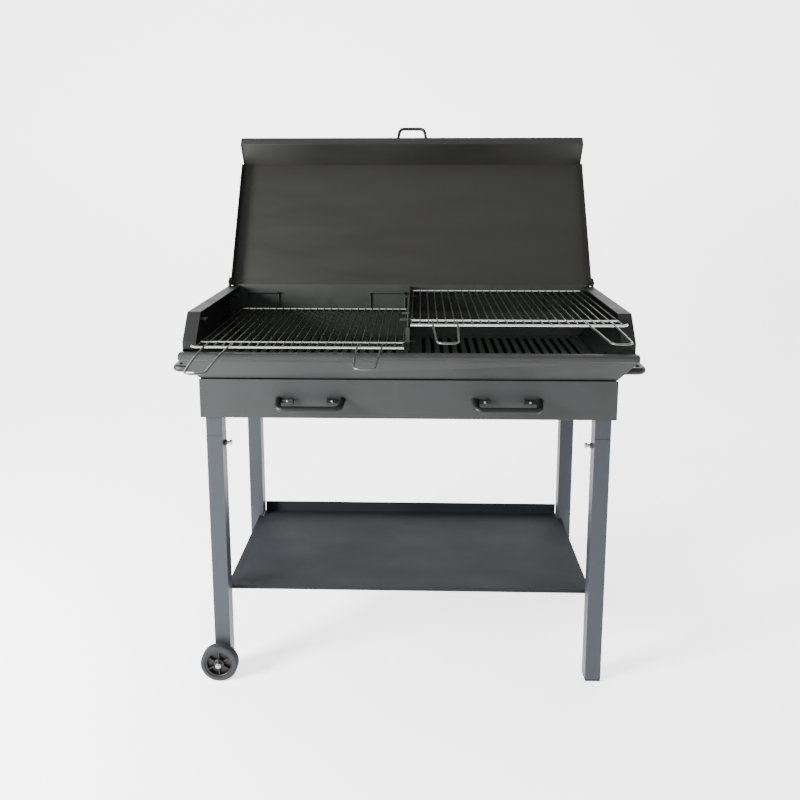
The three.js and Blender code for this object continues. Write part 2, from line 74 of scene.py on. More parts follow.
# ------------------------------------------------------------------ settings
def length(name, description, default):
    """A length in millimetres that the sidebar can change."""
    return bpy.props.FloatProperty(
        name=name, description=description, default=default * MM, min=0.0001, unit="LENGTH")


def colour(name, description, default):
    """A colour that the sidebar can change."""
    return bpy.props.FloatVectorProperty(
        name=name, description=description, default=linear(default), size=3, min=0, max=1, subtype="COLOR")


class BARBECUE_PG_wires(bpy.types.PropertyGroup):
    """Sizes of the plated wire in the grates, their loops and the rests."""

    rail: length("Rail", "Diameter of a grate's front and rear rails", 6)
    second_rail: length("Second rail", "Diameter of the rail behind the front rail", 4.8)
    rod: length("Rod", "Diameter of the rods that the food lies on", 3.8)
    loop: length("Loop", "Diameter of a lifting loop's wire", 5)
    rods: bpy.props.IntProperty(
        name="Rods", description="Number of rods in one grate", default=25, min=3, max=60)


class BARBECUE_PG_grips(bpy.types.PropertyGroup):
    """Sizes of the moulded handles."""

    bar: length("Bar", "Thickness of a moulded handle's bar", 16)
    bend: length("Bend", "Radius at the corners of a moulded handle", 18)
    foot: length("Foot", "How far a drawer handle's foot reaches inwards", 40)
    screw: length("Screw", "Diameter of a handle's screw heads", 6)


class BARBECUE_PG_finishes(bpy.types.PropertyGroup):
    """Colours of the paint, plating and mouldings."""

    stand: colour("Stand", "Paint on the firebox and ash box", "#1c1e1e")
    legs: colour("Legs", "Paint on the legs and their sockets", "#20242b")
    lid: colour("Lid", "Paint on the lid", "#13130f")
    shelf: colour("Shelf", "Paint on the low shelf", "#14171b")
    inside: colour("Inside", "Heat-browned paint inside the firebox", "#1b1f1c")
    # the walls' colour is near black: painted shade for the side walls, which lie in shade
    walls: colour("Walls", "Dark paint on the firebox's side walls", "#0b0d0c")
    plating: colour("Plating", "Plated rails of the grates", "#c6c9c5")
    # a darker copy of the plating for the rods and loops: painted shade
    drawn: colour("Drawn wire", "Duller wire of the grates' rods and loops", "#565853")
    zinc: colour("Zinc", "Zinc plating of bolts and nuts", "#9c9f9c")
    moulding: colour("Moulding", "Dark moulded handles and plugs", "#080909")
    tread: colour("Tread", "Tyres of the wheels", "#1f2226")
    floor: colour("Floor", "Floor of the studio", "#f6f6f6")


def settings(group):
    """The sidebar's values of one group."""
    return getattr(bpy.context.scene, group)


# ------------------------------------------------------------------ materials
def add_node(tree, kind, inputs=None, **values):
    """Adds a shader node with its settings and its links."""
    new = tree.nodes.new(kind)
    for name, value in values.items():
        setattr(new, name, value)
    for socket, value in (inputs or {}).items():
        if isinstance(value, bpy.types.NodeSocket):
            tree.links.new(value, new.inputs[socket])
        else:
            new.inputs[socket].default_value = value
    return new


def shader(name, inputs):
    """A new material and its tree, Principled node and object coordinates."""
    material = bpy.data.materials.new(name)
    material.use_nodes = True
    tree = material.node_tree
    tree.nodes.clear()
    surface = add_node(tree, "ShaderNodeBsdfPrincipled", inputs)
    add_node(tree, "ShaderNodeOutputMaterial", {"Surface": surface.outputs["BSDF"]})
    place = add_node(tree, "ShaderNodeTexCoord").outputs["Object"]
    return material, tree, surface, place


def spots_of(size_mm):
    """The scale of a noise whose spots are about that many millimetres apart."""
    return 1000 / size_mm


def shade(rgb, factor):
    """A colour made darker or lighter."""
    return tuple(min(1.0, c * factor) for c in rgb) + (1.0,)


def sheet_paint(name, rgb, roughness, cloud_mm, streak, spread=0.14, peel=0.12, sheen=0.32):
    """Heat-resistant silicone paint sprayed on folded mild steel: semi-matt, with soft clouds where the
    coat is thicker, faint dusty streaks and a very fine orange peel that breaks up its highlights."""
    material, tree, surface, place = shader(name, {
        "Metallic": 0.0, "Roughness": roughness, "Specular IOR Level": sheen})
    drawn = add_node(tree, "ShaderNodeMapping", {"Vector": place, "Scale": streak})
    clouds = add_node(tree, "ShaderNodeTexNoise", {
        "Vector": drawn.outputs["Vector"], "Scale": spots_of(cloud_mm), "Detail": 5.0, "Roughness": 0.55})
    speckle = add_node(tree, "ShaderNodeTexNoise", {
        "Vector": place, "Scale": spots_of(3), "Detail": 2.0, "Roughness": 0.6})
    both = add_node(tree, "ShaderNodeMix", {
        "Factor": 0.25, "A": clouds.outputs["Fac"], "B": speckle.outputs["Fac"]}, data_type="FLOAT")
    ramp = add_node(tree, "ShaderNodeValToRGB", {"Fac": both.outputs["Result"]})
    ramp.color_ramp.elements[0].position = 0.34
    ramp.color_ramp.elements[0].color = shade(rgb, 1 - spread)
    ramp.color_ramp.elements[1].position = 0.68
    ramp.color_ramp.elements[1].color = shade(rgb, 1 + spread)
    tree.links.new(ramp.outputs["Color"], surface.inputs["Base Color"])
    gloss = add_node(tree, "ShaderNodeMapRange", {
        "Value": both.outputs["Result"], "From Min": 0.3, "From Max": 0.7,
        "To Min": roughness - 0.07, "To Max": roughness + 0.09})
    tree.links.new(gloss.outputs["Result"], surface.inputs["Roughness"])
    # the peel of sprayed paint is under 1 mm across; drawn at 2 mm so that it shows
    peel_noise = add_node(tree, "ShaderNodeTexNoise", {"Vector": place, "Scale": spots_of(2), "Detail": 3.0})
    bump = add_node(tree, "ShaderNodeBump", {
        "Height": peel_noise.outputs["Fac"], "Strength": peel, "Distance": 0.0004})
    tree.links.new(bump.outputs["Normal"], surface.inputs["Normal"])
    return material


def plated_wire(name, rgb, roughness, dull_mm):
    """Plated steel wire, rod or bolt: bright, with small duller spots where the bath left it uneven."""
    material, tree, surface, place = shader(name, {"Metallic": 1.0, "Roughness": roughness})
    dull = add_node(tree, "ShaderNodeTexNoise", {"Vector": place, "Scale": spots_of(dull_mm), "Detail": 3.0})
    ramp = add_node(tree, "ShaderNodeValToRGB", {"Fac": dull.outputs["Fac"]})
    ramp.color_ramp.elements[0].position = 0.35
    ramp.color_ramp.elements[0].color = shade(rgb, 0.78)
    ramp.color_ramp.elements[1].position = 0.6
    ramp.color_ramp.elements[1].color = shade(rgb, 1.02)
    tree.links.new(ramp.outputs["Color"], surface.inputs["Base Color"])
    gloss = add_node(tree, "ShaderNodeMapRange", {
        "Value": dull.outputs["Fac"], "From Min": 0.3, "From Max": 0.7,
        "To Min": roughness + 0.12, "To Max": roughness - 0.05})
    tree.links.new(gloss.outputs["Result"], surface.inputs["Roughness"])
    return material


def moulded(name, rgb, roughness, grain_mm, depth):
    """Injection-moulded plastic or rubber: dark, with the fine spark-eroded grain of its mould."""
    material, tree, surface, place = shader(name, {
        "Metallic": 0.0, "Roughness": roughness, "Specular IOR Level": 0.28})
    grain = add_node(tree, "ShaderNodeTexNoise", {
        "Vector": place, "Scale": spots_of(grain_mm), "Detail": 4.0})
    worn = add_node(tree, "ShaderNodeTexNoise", {"Vector": place, "Scale": spots_of(25), "Detail": 3.0})
    ramp = add_node(tree, "ShaderNodeValToRGB", {"Fac": worn.outputs["Fac"]})
    ramp.color_ramp.elements[0].position = 0.35
    ramp.color_ramp.elements[0].color = shade(rgb, 0.85)
    ramp.color_ramp.elements[1].position = 0.7
    ramp.color_ramp.elements[1].color = shade(rgb, 1.3)
    tree.links.new(ramp.outputs["Color"], surface.inputs["Base Color"])
    bump = add_node(tree, "ShaderNodeBump", {
        "Height": grain.outputs["Fac"], "Strength": depth, "Distance": 0.0003})
    tree.links.new(bump.outputs["Normal"], surface.inputs["Normal"])
    return material


def finish(name):
    """The material of that name, made on first use from the sidebar's colours."""
    made = bpy.data.materials.get(name)
    if made:
        return made
    hues = settings("barbecue_finishes")
    makers = {
        # the stand's paint runs down in faint drifts, so its clouds are taller than wide
        "stand_paint": lambda: sheet_paint(name, hues.stand, 0.5, 90, (1.6, 1.6, 0.6)),
        # the legs are sprayed in the same coat, a little bluer
        "leg_paint": lambda: sheet_paint(name, hues.legs, 0.5, 80, (1.6, 1.6, 0.5), 0.12),
        # the lid is the largest plain sheet, rolled crossways, so its clouds are drawn out along X
        "lid_coat": lambda: sheet_paint(name, hues.lid, 0.47, 120, (0.5, 2.2, 2.2), 0.1),
        # the shelf is cooler in hue and evenly coated
        "shelf_paint": lambda: sheet_paint(name, hues.shelf, 0.68, 150, (0.6, 1.4, 1.4), 0.08, sheen=0.14),
        # inside the firebox the paint is browned and dulled by heat
        "inside_paint": lambda: sheet_paint(name, hues.inside, 0.62, 45, (1, 1, 1), 0.22, 0.25),
        # the side walls are painted near black: painted shade, standing for the shade they lie in
        "shade_darkened_paint": lambda: sheet_paint(name, hues.walls, 0.6, 60, (1, 1, 1), 0.2, 0.2, 0.22),
        "plated_wire": lambda: plated_wire(name, hues.plating, 0.24, 14),
        # the rods and loops take a darker, rougher copy of the rails' plating: painted shade that keeps them
        # dim beside the bright rails
        "shade_dimmed_wire": lambda: plated_wire(name, hues.drawn, 0.33, 22),
        "zinc_plate": lambda: plated_wire(name, hues.zinc, 0.36, 5),
        # glass-filled polyamide of the handles, plugs and hubs
        "moulded_polyamide": lambda: moulded(name, hues.moulding, 0.46, 1.2, 0.25),
        # hard rubber of the tyres, matt and slightly grey
        "tyre_rubber": lambda: moulded(name, hues.tread, 0.78, 1.8, 0.4),
    }
    return makers[name]()


# ------------------------------------------------------------------ modelling helpers
def keep_node(name, material, bevel_mm):
    """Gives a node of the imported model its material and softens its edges."""
    node = NODES[name]
    if not node.material_slots:
        node.data.materials.append(None)
    for place in node.material_slots:
        place.material = material
    weld = node.modifiers.new("weld", "WELD")
    weld.merge_threshold = 0.02 * MM
    bevel = node.modifiers.new("fold", "BEVEL")
    bevel.width = bevel_mm * MM
    bevel.segments = 2
    bevel.limit_method = "ANGLE"
    bevel.angle_limit = math.radians(35)
    bevel.use_clamp_overlap = True
    bevel.harden_normals = False


def finish_piece(bm, name, material, body, nodes=()):
    """Turns a bmesh into a finished object that rides on a body and replaces the named nodes."""
    bmesh.ops.remove_doubles(bm, verts=bm.verts, dist=0.01 * MM)
    bmesh.ops.recalc_face_normals(bm, faces=bm.faces)
    mesh = bpy.data.meshes.new(name)
    bm.to_mesh(mesh)
    bm.free()
    mesh.shade_smooth()
    mesh.set_sharp_from_angle(angle=SHARP_ANGLE)
    mesh.materials.append(material)
    piece = bpy.data.objects.new(name, mesh)
    bpy.context.scene.collection.objects.link(piece)
    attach(piece, body)
    if nodes:
        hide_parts(*nodes)
    return piece


def bent(corners, radius, steps):
    """A path through corners, each rounded off within a radius of it."""
    corners = [Vector(c) for c in corners]
    path = [corners[0]]
    for before, corner, after in zip(corners, corners[1:], corners[2:]):
        reach = min(radius, (before - corner).length * 0.48, (after - corner).length * 0.48)
        start = corner + (before - corner).normalized() * reach
        end = corner + (after - corner).normalized() * reach
        for i in range(steps + 1):
            t = i / steps
            path.append(start * (1 - t) ** 2 + corner * 2 * t * (1 - t) + end * t ** 2)
    path.append(corners[-1])
    return path


def sweep(bm, path, radius, sides, flat=1.0, flares=None, up=(0, 0, 1)):
    """Draws a round or oval bar along a path; flares widen or narrow it at given points of the path."""
    path = [Vector(p) for p in path]
    last = len(path) - 1
    along = [(path[min(i + 1, last)] - path[max(i - 1, 0)]).normalized() for i in range(last + 1)]
    side = along[0].cross(Vector(up))
    if side.length < 0.01:
        side = along[0].cross(Vector((1, 0, 0)))
    side.normalize()
    turn = Matrix((side, along[0].cross(side), along[0])).transposed()
    ring = bmesh.ops.create_circle(bm, cap_ends=True, radius=radius, segments=sides)["verts"]
    at_rest = [v.co.copy() for v in ring]
    edges = list({e for v in ring for e in v.link_edges})
    for i, point in enumerate(path):
        if i:
            turn = along[i - 1].rotation_difference(along[i]).to_matrix() @ turn
            grown = bmesh.ops.extrude_edge_only(bm, edges=edges)["geom"]
            fresh = [g for g in grown if isinstance(g, bmesh.types.BMVert)]
            edges = [g for g in grown if isinstance(g, bmesh.types.BMEdge)
                     and all(v in fresh for v in g.verts)]
            ring = match_ring(ring, fresh)
        width = (flares or {}).get(i, (flares or {}).get(i - last - 1, 1.0))
        for vert, place in zip(ring, at_rest):
            vert.co = point + turn @ Vector((place.x * width, place.y * width * flat, 0))
    bmesh.ops.contextual_create(bm, geom=edges)


def match_ring(ring, fresh):
    """The new verts of an extruded ring, in the old ring's order."""
    fresh = set(fresh)
    return [next(e.other_vert(v) for e in v.link_edges if e.other_vert(v) in fresh) for v in ring]


def spun(bm, profile, centre, steps=64):
    """Spins a closed outline of (radius, offset along Y) about the Y line through a centre."""
    verts = [bm.verts.new(centre + Vector((0, offset, radius))) for radius, offset in profile]
    edges = [bm.edges.new((a, b)) for a, b in zip(verts, verts[1:] + verts[:1])]
    bmesh.ops.spin(bm, geom=verts + edges, cent=centre, axis=(0, 1, 0), angle=2 * math.pi,
                   steps=steps, use_merge=True)


def block(bm, lo, hi, bevel_mm, turn):
    """A box as large as the space between two corners, turned about its middle, with rounded edges."""
    made = bmesh.ops.create_cube(bm, size=1.0)["verts"]
    bmesh.ops.scale(bm, vec=hi - lo, verts=made)
    bmesh.ops.rotate(bm, verts=made, matrix=turn)
    bmesh.ops.translate(bm, vec=(lo + hi) / 2, verts=made)
    edges = list({e for v in made for e in v.link_edges})
    bmesh.ops.bevel(bm, geom=edges, offset=bevel_mm * MM, offset_type="OFFSET", segments=2,
                    profile=0.5, affect="EDGES", clamp_overlap=True, material=-1)


def screw_head(bm, centre, outward, radius):
    """A domed screw head with a cross recess, facing outward."""
    turn = Vector((0, 0, 1)).rotation_difference(Vector(outward)).to_matrix()
    verts = bmesh.ops.create_cone(bm, cap_ends=True, segments=20, radius1=radius, radius2=radius * 0.72,
                                  depth=radius * 0.55)["verts"]
    rim = [e for e in {e for v in verts for e in v.link_edges} if all(v.co.z > 0 for v in e.verts)]
    bmesh.ops.bevel(bm, geom=rim, offset=radius * 0.18, offset_type="OFFSET", segments=3, profile=0.5,
                    affect="EDGES", clamp_overlap=True, material=-1)
    head = [v for v in bm.verts if v.is_valid and v.co.length < radius * 1.3]
    arms = []
    for quarter in (0, 1):
        arm = bmesh.ops.create_cube(bm, size=1.0)["verts"]
        bmesh.ops.scale(bm, vec=(radius * 0.95, radius * 0.18, radius * 0.1), verts=arm)
        bmesh.ops.rotate(bm, verts=arm, matrix=Matrix.Rotation(quarter * math.pi / 2, 3, "Z"))
        bmesh.ops.translate(bm, vec=(0, 0, radius * 0.275), verts=arm)
        arms += arm
    bmesh.ops.rotate(bm, verts=list(set(head) | set(arms)), matrix=turn)
    bmesh.ops.translate(bm, vec=centre, verts=list(set(head) | set(arms)))


# ------------------------------------------------------------------ operators
class BARBECUE_OT_sheet_metal(bpy.types.Operator):
    """Paint the folded sheets of the firebox, ash box, lid, legs and shelf"""

    bl_idname = "barbecue.sheet_metal"
    bl_label = "Sheet metal"

    def execute(self, context):
        leg_edge = 0.9
        # each coat with the roundness of its sheets' folds in millimetres, and the nodes that it covers
        coats = {
            "stand_paint": (0.7, ["firebox_front", "ash_box_floor", "ash_box_side_left", "ash_box_side_right",
                                  "drawer_front"]),
            # the side walls take a paint darkened as painted shade
            "shade_darkened_paint": (0.7, ["firebox_side_left", "firebox_side_right"]),
            "inside_paint": (0.4, ["rear_panel", "rear_baffle", "divider", "charcoal_grate_left",
                                   "charcoal_grate_right", "drawer_tray", "drawer_runner_left",
                                   "drawer_runner_right"]),
            "shelf_paint": (0.7, ["shelf"]),
            "lid_coat": (0.8, ["lid_sheet"]),
        }
        for coat, (bevel_mm, names) in coats.items():
            for name in names:
                keep_node(name, finish(coat), bevel_mm)
        for end in ENDS:
            for side in SIDES:
                keep_node(f"leg_{end}_{side}", finish("leg_paint"), leg_edge)
                keep_node(f"leg_socket_{end}_{side}", finish("leg_paint"), leg_edge)
        return {"FINISHED"}


class BARBECUE_OT_cooking_grates(bpy.types.Operator):
    """Build the wire cooking grates with their lifting loops"""

    bl_idname = "barbecue.cooking_grates"
    bl_label = "Cooking grates"

    def execute(self, context):
        wires = settings("barbecue_wires")
        for side in SIDES:
            self.grate(side, wires)
            for place in ("outer", "inner"):
                self.loop(side, place, wires)
        return {"FINISHED"}

    def grate(self, side, wires):
        """Three rails across the grate, the front one curled up at its outer end, and the rods on them."""
        lo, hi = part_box(f"cooking_grate_{side}")
        middle = (lo.z + hi.z) / 2
        rail = wires.rail / 2
        sign = -1 if side == "left" else 1
        end = sign * max(abs(lo.x), abs(hi.x))
        outer = end - sign * 12 * MM  # the front rail runs on past the outermost rod
        inner = sign * min(abs(lo.x), abs(hi.x))
        front, back = lo.y + rail, hi.y - rail
        second = lo.y + 43 * MM
        under = middle - 2.2 * MM  # the front rail lies lower, under the rods' ends
        curl = [(inner, front, under), (end - sign * 9 * MM, front, under),
                (end - sign * 4 * MM, front, under + 1.2 * MM), (end, front, under + 3.5 * MM)]
        bm = bmesh.new()
        sweep(bm, curl, rail, 12)
        sweep(bm, [(inner, back, middle), (outer, back, middle)], rail, 12)
        first = inner + sign * wires.rod / 2
        pitch = (outer - sign * wires.rod / 2 - first) / (wires.rods - 1)
        top = middle + rail - wires.rod / 2
        above = middle + rail - wires.second_rail / 2 + 0.5 * MM
        sweep(bm, [(inner, second, above), (outer, second, above)], wires.second_rail / 2, 10)
        finish_piece(bm, f"grate_rails_{side}", finish("plated_wire"), f"{side}_grate",
                     [f"cooking_grate_{side}"])
        bm = bmesh.new()
        inset, bend, dip = 1.2 * MM, 8 * MM, 0.3 * MM  # where a rod ends, where it bends and how far down
        for i in range(wires.rods):
            x = first + i * pitch
            rod = [(x, lo.y + inset, top - dip), (x, lo.y + bend, top),
                   (x, hi.y - bend, top), (x, hi.y - inset, top - dip)]
            sweep(bm, rod, wires.rod / 2, 10, flares={0: 0.75, -1: 0.75})
        # the rods take the darker copy of the plating, painted shade
        finish_piece(bm, f"grate_rods_{side}", finish("shade_dimmed_wire"), f"{side}_grate")

    def loop(self, side, place, wires):
        """A lifting loop that sticks out at the front and hangs down towards its tip."""
        node = f"lifting_loop_{side}_{place}"
        lo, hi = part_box(node)
        radius = wires.loop / 2
        x0, x1 = lo.x + radius, hi.x - radius
        tip = 7 * MM  # how much narrower the loop is at its tip, on each side
        top = hi.z - radius
        low = lo.z + radius
        start = hi.y + 46 * MM  # the two ends run back under the rods
        under = top - 1 * MM
        nose = lo.y + radius
        halfway = hi.y + (nose - hi.y) * 0.5
        sunk = top + (low - top) * 0.25 - 0.5 * MM  # most of the droop is past halfway
        corners = [
            (x0, start, under), (x0, hi.y, under), (x0 + tip * 0.5, halfway, sunk), (x0 + tip, nose, low),
            (x1 - tip, nose, low), (x1 - tip * 0.5, halfway, sunk), (x1, hi.y, under), (x1, start, under)]
        path = bent(corners, 19 * MM, 8)
        bm = bmesh.new()
        sweep(bm, path, radius, 12, flares={0: 0.8, -1: 0.8})
        # the loop takes the darker copy of the plating, painted shade
        finish_piece(bm, f"loop_wire_{side}_{place}", finish("shade_dimmed_wire"), f"{side}_grate", [node])


class BARBECUE_OT_grate_rests(bpy.types.Operator):
    """Build the wire brackets that carry a raised grate at the back"""

    bl_idname = "barbecue.grate_rests"
    bl_label = "Grate rests"

    def execute(self, context):
        for side in SIDES:
            for place in ("outer", "inner"):
                self.rest(side, place)
        return {"FINISHED"}

    def rest(self, side, place):
        """One bracket: two legs up the rear panel that lean out just under the bar across them."""
        node = f"rear_rest_{side}_{place}"
        lo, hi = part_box(node)
        radius = 2.5 * MM
        x0, x1 = lo.x + radius, hi.x - radius
        wall, proud = hi.y - radius, lo.y + radius
        foot, top = lo.z, hi.z - radius
        shoulder = top - 5 * MM
        corners = [
            (x0, wall, foot), (x0, wall, shoulder), (x0, proud, top),
            (x1, proud, top), (x1, wall, shoulder), (x1, wall, foot)]
        bm = bmesh.new()
        sweep(bm, bent(corners, 3 * MM, 5), radius, 10, up=(1, 0, 0))
        finish_piece(bm, f"rest_wire_{side}_{place}", finish("inside_paint"), "stand",
                     [node])


class BARBECUE_OT_handles(bpy.types.Operator):
    """Build the moulded handles of the drawer and sides, and the wire handle of the lid"""

    bl_idname = "barbecue.handles"
    bl_label = "Handles"

    def execute(self, context):
        grips = settings("barbecue_grips")
        for side in SIDES:
            self.drawer_handle(side, grips)
            self.side_handle(side, grips)
        self.lid_handle()
        return {"FINISHED"}

    def drawer_handle(self, side, grips):
        """A bar that hangs below its two roots, with a foot and a screw at each root."""
        node = f"drawer_handle_{side}"
        lo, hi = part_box(node)
        half = grips.bar / 2
        x0, x1 = lo.x + half, hi.x - half
        root, bar_y = hi.y, lo.y + half
        root_z, bar_z = hi.z - 10 * MM, lo.z + half
        corners = [
            (x0, root, root_z), (x0, root - 9 * MM, root_z - 1 * MM), (x0 + 4 * MM, bar_y, bar_z),
            (x1 - 4 * MM, bar_y, bar_z), (x1, root - 9 * MM, root_z - 1 * MM), (x1, root, root_z)]
        bm = bmesh.new()
        sweep(bm, bent(corners, grips.bend, 7), half, 16, 0.84, {0: 1.15, 1: 1.05, -2: 1.05, -1: 1.15})
        # each end spreads into a wedge-shaped foot that reaches inwards along the drawer's front
        feet = ((x0 - 3 * MM, 1), (x1 + 3 * MM, -1))
        for x, inwards in feet:
            foot = [(x, root - 6 * MM, root_z - 5 * MM),
                    (x + inwards * 16 * MM, root - 7 * MM, root_z - 3 * MM),
                    (x + inwards * grips.foot, root - 7 * MM, root_z - 1 * MM)]
            sweep(bm, foot, half, 16, 0.84, {0: 0.5, 1: 0.8, 2: 1.0}, (0, -1, 0))
        finish_piece(bm, f"drawer_grip_{side}", finish("moulded_polyamide"), "drawer", [node])
        outward = (0, -0.94, 0.35)  # the screws face forwards and a little up
        bm = bmesh.new()
        for x, inwards in feet:
            place = (x + inwards * grips.foot * 0.66, root - 13.4 * MM, root_z + 1 * MM)
            screw_head(bm, place, outward, grips.screw / 2)
        finish_piece(bm, f"drawer_grip_screws_{side}", finish("zinc_plate"), "drawer")

    def side_handle(self, side, grips):
        """A bar that runs front to back beside the firebox, on two short arms."""
        node = f"side_handle_{side}"
        lo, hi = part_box(node)
        sign = -1 if side == "left" else 1
        half = grips.bar / 2
        wall = sign * (min(abs(lo.x), abs(hi.x)) + 8 * MM)
        bar = sign * (max(abs(lo.x), abs(hi.x)) - half)
        z = (lo.z + hi.z) / 2
        y0, y1 = lo.y + half, hi.y - half
        arm = wall + sign * 9 * MM
        corners = [(wall, y0, z), (arm, y0, z), (bar, y0 + 3 * MM, z),
                   (bar, y1 - 3 * MM, z), (arm, y1, z), (wall, y1, z)]
        stout = half * 1.15  # the side handles are thicker than the drawer's
        bm = bmesh.new()
        sweep(bm, bent(corners, grips.bend, 7), stout, 16, 1.0, {0: 1.2, 1: 1.05, -2: 1.05, -1: 1.2})
        finish_piece(bm, f"side_grip_{side}", finish("moulded_polyamide"), "stand", [node])

    def lid_handle(self):
        """A bar bent to a shallow U, whose ends stand on the lid's front."""
        lo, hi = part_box("lid_handle")
        pivot = Vector(JOINTS["lid_hinge"]["pos_m"])
        radius = 5.2 * MM
        splay = 9 * MM  # how far each end stands out past the bar's corner
        turn = Matrix.Rotation(LID_TURN, 3, "X")
        # as they lie with the lid shut, from the hinge line: the height, and how far to the front
        level = -41 * MM
        root, nose = -457 * MM, -510 * MM
        x0, x1 = lo.x + radius, hi.x + 1 * MM
        corners = [pivot + turn @ Vector((x, y, level)) for x, y in (
            (x0, root), (x0 + splay, nose), (x1 - splay, nose), (x1, root))]
        bm = bmesh.new()
        sweep(bm, bent(corners, 15 * MM, 7), radius, 14, 1.0, {0: 0.8, -1: 0.8})
        finish_piece(bm, "lid_grip", finish("moulded_polyamide"), "lid", ["lid_handle"])


class BARBECUE_OT_wheels(bpy.types.Operator):
    """Build the ribbed hubs and grooved tyres"""

    bl_idname = "barbecue.wheels"
    bl_label = "Wheels"

    def execute(self, context):
        for end in ENDS:
            self.hub(end)
            self.tyre(end)
        return {"FINISHED"}

    def hub(self, end):
        """A hub with a boss round the bolt, a thin web and a rim, and ribs across the web."""
        node = f"wheel_hub_{end}"
        lo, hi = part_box(node)
        centre = (lo + hi) / 2
        half = (hi.y - lo.y) / 2
        rim = (hi.z - lo.z) / 2
        web = 2.2 * MM
        bore = 4.4 * MM
        profile = [
            (bore, -half), (12 * MM, -half), (13 * MM, -half + 1 * MM), (13.6 * MM, -web),
            (rim - 5.5 * MM, -web), (rim - 5 * MM, -half + 2 * MM), (rim - 4 * MM, -half + 1 * MM),
            (rim, -half + 1 * MM), (rim, half - 1 * MM), (rim - 4 * MM, half - 1 * MM),
            (rim - 5 * MM, half - 2 * MM), (rim - 5.5 * MM, web), (13.6 * MM, web),
            (13 * MM, half - 1 * MM), (12 * MM, half), (bore, half)]
        bm = bmesh.new()
        spun(bm, profile, centre)
        ribs = 6
        rib = Vector((1.6 * MM, half - 2.5 * MM, 9.6 * MM))  # half of a rib's width, depth and length
        for i in range(ribs):
            turn = Matrix.Rotation(2 * math.pi * i / ribs, 3, "Y")
            middle = centre + turn @ Vector((0, 0, 22 * MM))
            block(bm, middle - rib, middle + rib, 0.6, turn)
        finish_piece(bm, f"ribbed_hub_{end}", finish("moulded_polyamide"), f"{end}_wheel",
                     [node])

    def tyre(self, end):
        """A tyre with three grooves round its tread."""
        node = f"wheel_tyre_{end}"
        lo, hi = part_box(node)
        centre = (lo + hi) / 2
        half = (hi.y - lo.y) / 2
        tread = (hi.z - lo.z) / 2
        foot = 36.4 * MM
        groove = 1.6 * MM
        across = [(foot, -half + 1.5 * MM), (foot + 1 * MM, -half), (tread - 5 * MM, -half),
                  (tread - 2 * MM, -half + 0.8 * MM), (tread, -half + 3 * MM)]
        mouth, floor = 1.1 * MM, 0.7 * MM  # half of a groove's width, at the tread and at its bottom
        for middle in (-5.5 * MM, 0, 5.5 * MM):
            across += [(tread, middle - mouth), (tread - groove, middle - floor),
                       (tread - groove, middle + floor), (tread, middle + mouth)]
        across += [(tread, half - 3 * MM), (tread - 2 * MM, half - 0.8 * MM), (tread - 5 * MM, half),
                   (foot + 1 * MM, half), (foot, half - 1.5 * MM)]
        bm = bmesh.new()
        spun(bm, across, centre, 72)
        finish_piece(bm, f"grooved_tyre_{end}", finish("tyre_rubber"), f"{end}_wheel", [node])


class BARBECUE_OT_fasteners(bpy.types.Operator):
    """Plate the bolts and nuts and colour the foot plugs"""

    bl_idname = "barbecue.fasteners"
    bl_label = "Bolts and plugs"

    def execute(self, context):
        for name in NODES:
            # the lid's pivots are painted over with the walls, so they take the walls' paint with its painted
            # shade
            if name.startswith("pivot_"):
                keep_node(name, finish("shade_darkened_paint"), 0.4)
            elif "bolt" in name or "nut" in name:
                keep_node(name, finish("zinc_plate"), 0.4)
            elif name.startswith("foot_plug"):
                keep_node(name, finish("moulded_polyamide"), 0.8)
        return {"FINISHED"}


